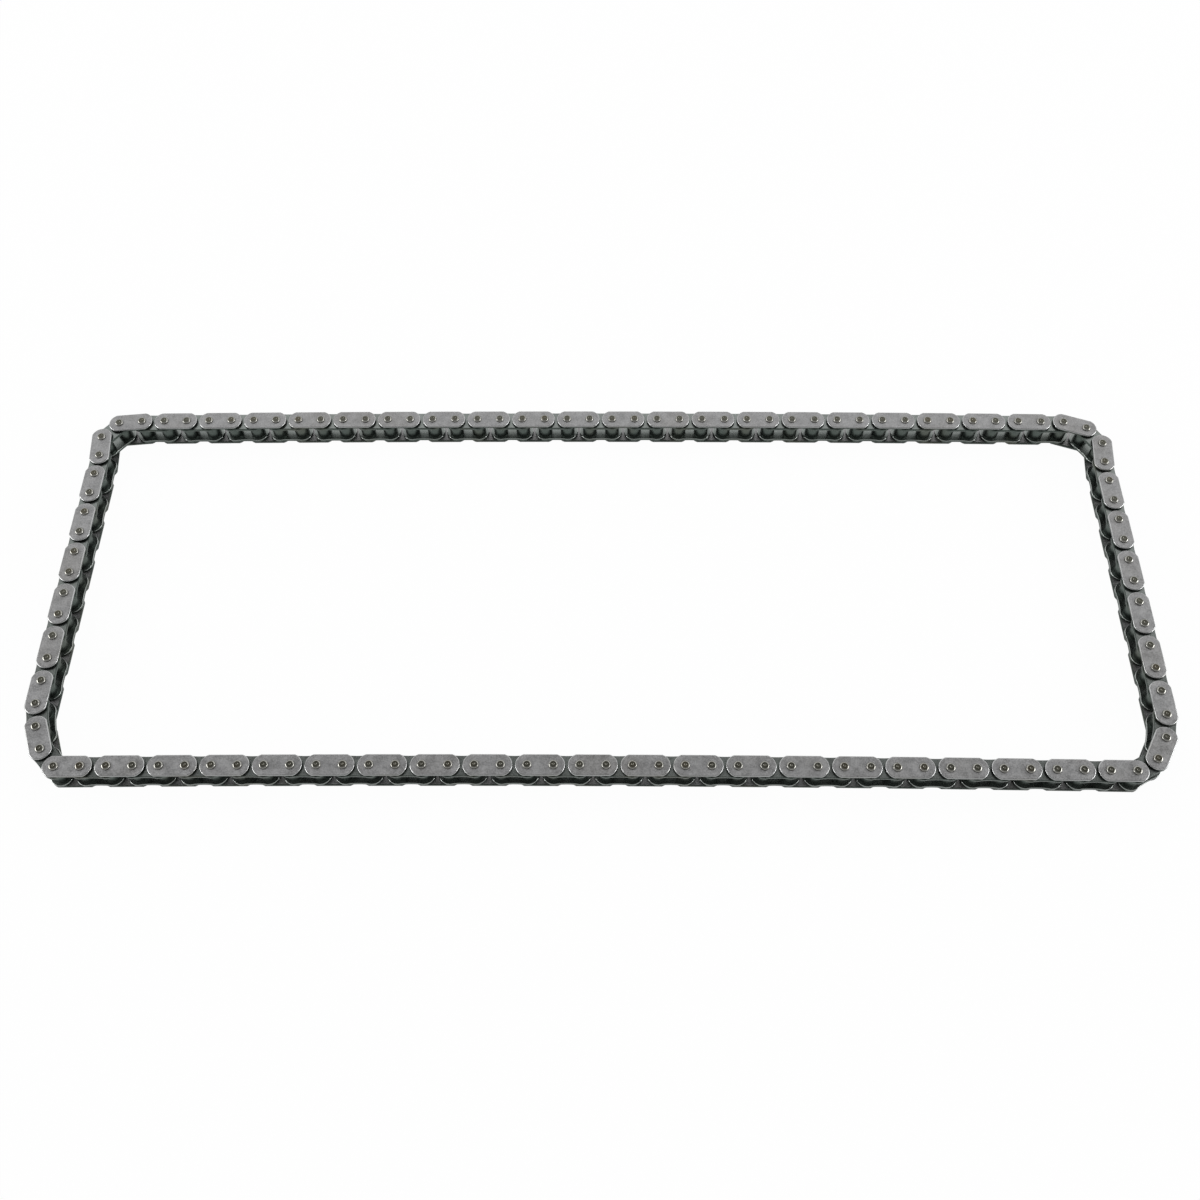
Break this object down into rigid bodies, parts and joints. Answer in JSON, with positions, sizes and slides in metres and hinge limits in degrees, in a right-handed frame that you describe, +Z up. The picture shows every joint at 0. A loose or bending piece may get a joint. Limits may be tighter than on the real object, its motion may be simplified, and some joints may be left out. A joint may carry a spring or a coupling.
{
  "type": "timing chain",
  "caption": "Endless single strand bush timing chain of riveted steel links, laid flat as a long rounded rectangle.",
  "frame": {"origin": "centre of the flat loop's box, on the surface that the lower pin ends stand on", "axes": "+X along the two long runs, +Y across the loop, +Z up along the pins"},
  "size_m": [0.3602, 0.1404, 0.0104],
  "materials": {
    "outer_plate_steel": "satin",
    "inner_plate_steel": "satin",
    "pin_steel": "polished",
    "bush_steel": "polished"
  },
  "bodies": {
    "back_run_1": {"outer_plates_back_run_1": "outer_plate_steel", "pins_back_run_1": "pin_steel", "inner_plates_back_run_1": "inner_plate_steel", "bushes_back_run_1": "bush_steel"},
    "back_run_2": {"outer_plates_back_run_2": "outer_plate_steel", "pins_back_run_2": "pin_steel", "inner_plates_back_run_2": "inner_plate_steel", "bushes_back_run_2": "bush_steel"},
    "back_run_3": {"outer_plates_back_run_3": "outer_plate_steel", "pins_back_run_3": "pin_steel", "inner_plates_back_run_3": "inner_plate_steel", "bushes_back_run_3": "bush_steel"},
    "back_run_4": {"outer_plates_back_run_4": "outer_plate_steel", "pins_back_run_4": "pin_steel", "inner_plates_back_run_4": "inner_plate_steel", "bushes_back_run_4": "bush_steel"},
    "back_right_corner": {"outer_plates_back_right_corner": "outer_plate_steel", "pins_back_right_corner": "pin_steel", "inner_plates_back_right_corner": "inner_plate_steel", "bushes_back_right_corner": "bush_steel"},
    "right_side": {"outer_plates_right_side": "outer_plate_steel", "pins_right_side": "pin_steel", "inner_plates_right_side": "inner_plate_steel", "bushes_right_side": "bush_steel"},
    "front_right_corner": {"outer_plates_front_right_corner": "outer_plate_steel", "pins_front_right_corner": "pin_steel", "inner_plates_front_right_corner": "inner_plate_steel", "bushes_front_right_corner": "bush_steel"},
    "front_run_1": {"outer_plates_front_run_1": "outer_plate_steel", "pins_front_run_1": "pin_steel", "inner_plates_front_run_1": "inner_plate_steel", "bushes_front_run_1": "bush_steel"},
    "front_run_2": {"outer_plates_front_run_2": "outer_plate_steel", "pins_front_run_2": "pin_steel", "inner_plates_front_run_2": "inner_plate_steel", "bushes_front_run_2": "bush_steel"},
    "front_run_3": {"outer_plates_front_run_3": "outer_plate_steel", "pins_front_run_3": "pin_steel", "inner_plates_front_run_3": "inner_plate_steel", "bushes_front_run_3": "bush_steel"},
    "front_run_4": {"outer_plates_front_run_4": "outer_plate_steel", "pins_front_run_4": "pin_steel", "inner_plates_front_run_4": "inner_plate_steel", "bushes_front_run_4": "bush_steel"},
    "front_left_corner": {"outer_plates_front_left_corner": "outer_plate_steel", "pins_front_left_corner": "pin_steel", "inner_plates_front_left_corner": "inner_plate_steel", "bushes_front_left_corner": "bush_steel"},
    "left_side": {"outer_plates_left_side": "outer_plate_steel", "pins_left_side": "pin_steel", "inner_plates_left_side": "inner_plate_steel", "bushes_left_side": "bush_steel"},
    "back_left_corner": {"outer_plates_back_left_corner": "outer_plate_steel", "pins_back_left_corner": "pin_steel", "inner_plates_back_left_corner": "inner_plate_steel", "bushes_back_left_corner": "bush_steel"}
  },
  "joints": [
    {"name": "left_side_swing", "type": "hinge", "parent": "front_left_corner", "child": "left_side", "pos_m": [-0.17532, -0.0456, 0.00521], "axis": [0, 0, 1], "range_deg": [-45, 45]},
    {"name": "back_left_corner_swing", "type": "hinge", "parent": "left_side", "child": "back_left_corner", "pos_m": [-0.17565, 0.0504, 0.00521], "axis": [0, 0, 1], "range_deg": [-45, 45]},
    {"name": "left_end_fold", "type": "hinge", "parent": "back_left_corner", "child": "back_run_1", "pos_m": [-0.16345, 0.06537, 0.00521], "axis": [0, 0, 1], "range_deg": [-45, 45]},
    {"name": "back_run_2_swing", "type": "hinge", "parent": "back_run_1", "child": "back_run_2", "pos_m": [-0.08345, 0.06623, 0.00521], "axis": [0, 0, 1], "range_deg": [-45, 45]},
    {"name": "middle_fold", "type": "hinge", "parent": "back_run_2", "child": "back_run_3", "pos_m": [0.00455, 0.06654, 0.00521], "axis": [0, 0, 1], "range_deg": [-45, 45]},
    {"name": "back_run_4_swing", "type": "hinge", "parent": "back_run_3", "child": "back_run_4", "pos_m": [0.08455, 0.06623, 0.00521], "axis": [0, 0, 1], "range_deg": [-90, 90]},
    {"name": "back_right_corner_swing", "type": "hinge", "parent": "back_run_4", "child": "back_right_corner", "pos_m": [0.16454, 0.06537, 0.00521], "axis": [0, 0, 1], "range_deg": [-45, 45]},
    {"name": "right_side_swing", "type": "hinge", "parent": "back_right_corner", "child": "right_side", "pos_m": [0.17566, 0.04808, 0.00521], "axis": [0, 0, 1], "range_deg": [-45, 45]},
    {"name": "front_right_corner_swing", "type": "hinge", "parent": "right_side", "child": "front_right_corner", "pos_m": [0.17599, -0.04792, 0.00521], "axis": [0, 0, 1], "range_deg": [-45, 45]},
    {"name": "front_run_1_swing", "type": "hinge", "parent": "front_left_corner", "child": "front_run_1", "pos_m": [-0.16486, -0.06654, 0.00521], "axis": [0, 0, 1], "range_deg": [-45, 45]},
    {"name": "front_run_2_swing", "type": "hinge", "parent": "front_run_1", "child": "front_run_2", "pos_m": [-0.08486, -0.06567, 0.00521], "axis": [0, 0, 1], "range_deg": [-45, 45]},
    {"name": "front_run_3_swing", "type": "hinge", "parent": "front_run_2", "child": "front_run_3", "pos_m": [0.00314, -0.06537, 0.00521], "axis": [0, 0, 1], "range_deg": [-45, 45]},
    {"name": "front_run_4_swing", "type": "hinge", "parent": "front_run_3", "child": "front_run_4", "pos_m": [0.08314, -0.06567, 0.00521], "axis": [0, 0, 1], "range_deg": [-90, 90]}
  ],
  "couplings": [
    {"joint": "back_left_corner_swing", "follows": "left_side_swing", "ratio": -1},
    {"joint": "right_side_swing", "follows": "left_side_swing", "ratio": 1},
    {"joint": "front_right_corner_swing", "follows": "left_side_swing", "ratio": -1},
    {"joint": "back_run_2_swing", "follows": "left_end_fold", "ratio": -1},
    {"joint": "front_run_1_swing", "follows": "left_end_fold", "ratio": 1},
    {"joint": "front_run_2_swing", "follows": "left_end_fold", "ratio": -1},
    {"joint": "back_run_4_swing", "follows": "middle_fold", "ratio": -2},
    {"joint": "back_right_corner_swing", "follows": "middle_fold", "ratio": 1},
    {"joint": "front_run_3_swing", "follows": "middle_fold", "ratio": 1},
    {"joint": "front_run_4_swing", "follows": "middle_fold", "ratio": -2}
  ]
}
